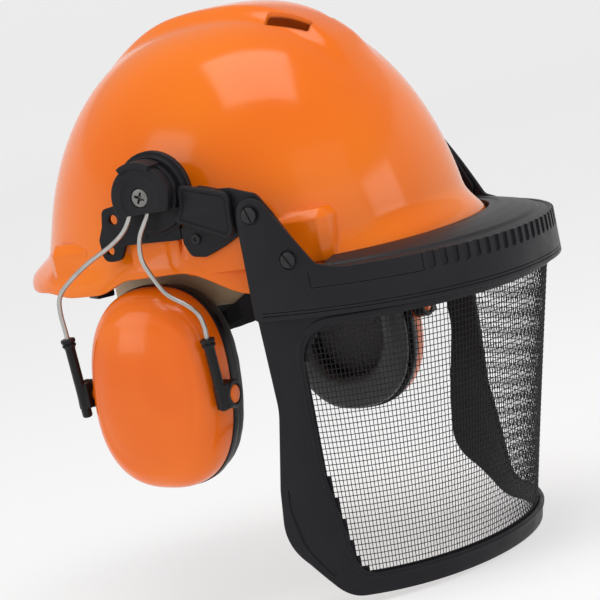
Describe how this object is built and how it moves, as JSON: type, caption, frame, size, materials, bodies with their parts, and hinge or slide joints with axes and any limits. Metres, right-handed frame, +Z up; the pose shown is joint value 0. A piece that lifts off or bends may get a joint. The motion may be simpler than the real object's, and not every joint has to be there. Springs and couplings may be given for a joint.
{
  "type": "forestry safety helmet",
  "caption": "Domed safety helmet with a webbing suspension, folding ear muffs on spring wires and a hinged brow guard that carries a curved wire-mesh face visor",
  "frame": {"origin": "middle of the headband ring, 17 mm under the slots' pads and 13 mm under the shell's rim over the ears; this is where the wearer's head carries the helmet", "axes": "+Z up through the crown, the helmet faces -Y, +X is the wearer's left"},
  "size_m": [0.256, 0.3114, 0.3308],
  "materials": {
    "shell_orange": "glossy moulded ABS, orange",
    "cup_orange": "glossy moulded ABS, orange",
    "black_plastic": "fine-textured moulded plastic, black",
    "frame_plastic": "semi-gloss moulded plastic, black",
    "mesh_steel": "woven steel wire, black",
    "spring_steel": "bright drawn spring steel wire",
    "screw_steel": "zinc-plated steel, cross-head",
    "black_screw": "blackened steel, slotted",
    "webbing": "woven polyester webbing, khaki",
    "band_plastic": "moulded polyethylene band, khaki",
    "sweat_pad": "perforated sweat pad, dark brown",
    "cushion_skin": "soft PVC skin over foam, black",
    "foam": "open-cell acoustic foam, dark grey"
  },
  "bodies": {
    "helmet": {"shell": "shell_orange", "headband": "band_plastic", "sweatband": "sweat_pad", "crown_strap_1": "webbing", "crown_strap_2": "webbing", "crown_strap_3": "webbing", "suspension_key_1": "black_plastic", "suspension_key_2": "black_plastic", "suspension_key_3": "black_plastic", "suspension_key_4": "black_plastic", "suspension_key_5": "black_plastic", "suspension_key_6": "black_plastic", "muff_base_right": "black_plastic", "muff_base_left": "black_plastic", "visor_bracket_right": "black_plastic", "visor_bracket_left": "black_plastic", "bracket_screw_right": "black_screw", "bracket_screw_left": "black_screw", "visor_cover_right": "frame_plastic", "visor_cover_left": "frame_plastic", "hub_screw_right": "screw_steel", "hub_screw_left": "screw_steel"},
    "nape": {"nape_band": "black_plastic", "ratchet_housing": "black_plastic"},
    "knob": {"ratchet_knob": "black_plastic"},
    "visor": {"visor_arm_right": "frame_plastic", "visor_arm_left": "frame_plastic", "guard_screw_upper_right": "black_screw", "guard_screw_upper_left": "black_screw", "guard_screw_lower_right": "black_screw", "guard_screw_lower_left": "black_screw", "visor_clip_right": "screw_steel", "visor_clip_left": "screw_steel", "brow_guard": "frame_plastic", "visor_frame": "frame_plastic", "visor_mesh": "mesh_steel"},
    "turret_right": {"hub_right": "black_plastic"},
    "arms_right": {"wire_rear_right": "spring_steel", "wire_front_right": "spring_steel"},
    "fork_right": {"sleeve_rear_right": "frame_plastic", "sleeve_front_right": "frame_plastic"},
    "cup_right": {"cup_shell_right": "cup_orange", "cup_plate_right": "black_plastic", "cushion_right": "cushion_skin", "foam_liner_right": "foam"},
    "turret_left": {"hub_left": "black_plastic"},
    "arms_left": {"wire_rear_left": "spring_steel", "wire_front_left": "spring_steel"},
    "fork_left": {"sleeve_rear_left": "frame_plastic", "sleeve_front_left": "frame_plastic"},
    "cup_left": {"cup_shell_left": "cup_orange", "cup_plate_left": "black_plastic", "cushion_left": "cushion_skin", "foam_liner_left": "foam"}
  },
  "joints": [
    {"name": "visor_swing", "type": "hinge", "parent": "helmet", "child": "visor", "pos_m": [0, -0.036, 0.047], "axis": [-1, 0, 0], "range_deg": [0, 80]},
    {"name": "knob_turn", "type": "hinge", "parent": "nape", "child": "knob", "pos_m": [0, 0.109, -0.032], "axis": [0, 1, 0], "range_deg": [0, 540]},
    {"name": "nape_slide", "type": "slide", "parent": "helmet", "child": "nape", "axis": [0, -1, 0], "range_m": [0, 0.007]},
    {"name": "muff_turn_right", "type": "hinge", "parent": "helmet", "child": "turret_right", "pos_m": [-0.113, -0.0013, 0.059], "axis": [1, 0, 0], "range_deg": [-8, 2]},
    {"name": "muff_flip_right", "type": "hinge", "parent": "turret_right", "child": "arms_right", "pos_m": [-0.119, 0.004, 0.05], "axis": [0, 1, 0], "range_deg": [0, 30]},
    {"name": "cup_slide_right", "type": "slide", "parent": "arms_right", "child": "fork_right", "axis": [0.11, 0.02, -0.9937], "range_m": [0, 0.02]},
    {"name": "cup_tilt_right", "type": "hinge", "parent": "fork_right", "child": "cup_right", "pos_m": [-0.105, 0.0245, -0.052], "axis": [0, 0.9945, 0.1045], "range_deg": [-6, 4]},
    {"name": "muff_turn_left", "type": "hinge", "parent": "helmet", "child": "turret_left", "pos_m": [0.113, -0.0013, 0.059], "axis": [1, 0, 0], "range_deg": [-4, 11]},
    {"name": "muff_flip_left", "type": "hinge", "parent": "turret_left", "child": "arms_left", "pos_m": [0.119, 0.00253, 0.04928], "axis": [0, -0.9877, 0.1564], "range_deg": [0, 30]},
    {"name": "cup_slide_left", "type": "slide", "parent": "arms_left", "child": "fork_left", "axis": [-0.11, -0.1357, -0.9846], "range_m": [0, 0.02]},
    {"name": "cup_tilt_left", "type": "hinge", "parent": "fork_left", "child": "cup_left", "pos_m": [0.105, 0.00682, -0.05467], "axis": [0, -0.9986, 0.0523], "range_deg": [-6, 4]}
  ],
  "couplings": [
    {"joint": "knob_turn", "follows": "nape_slide", "rad_per_m": 1346.4}
  ]
}
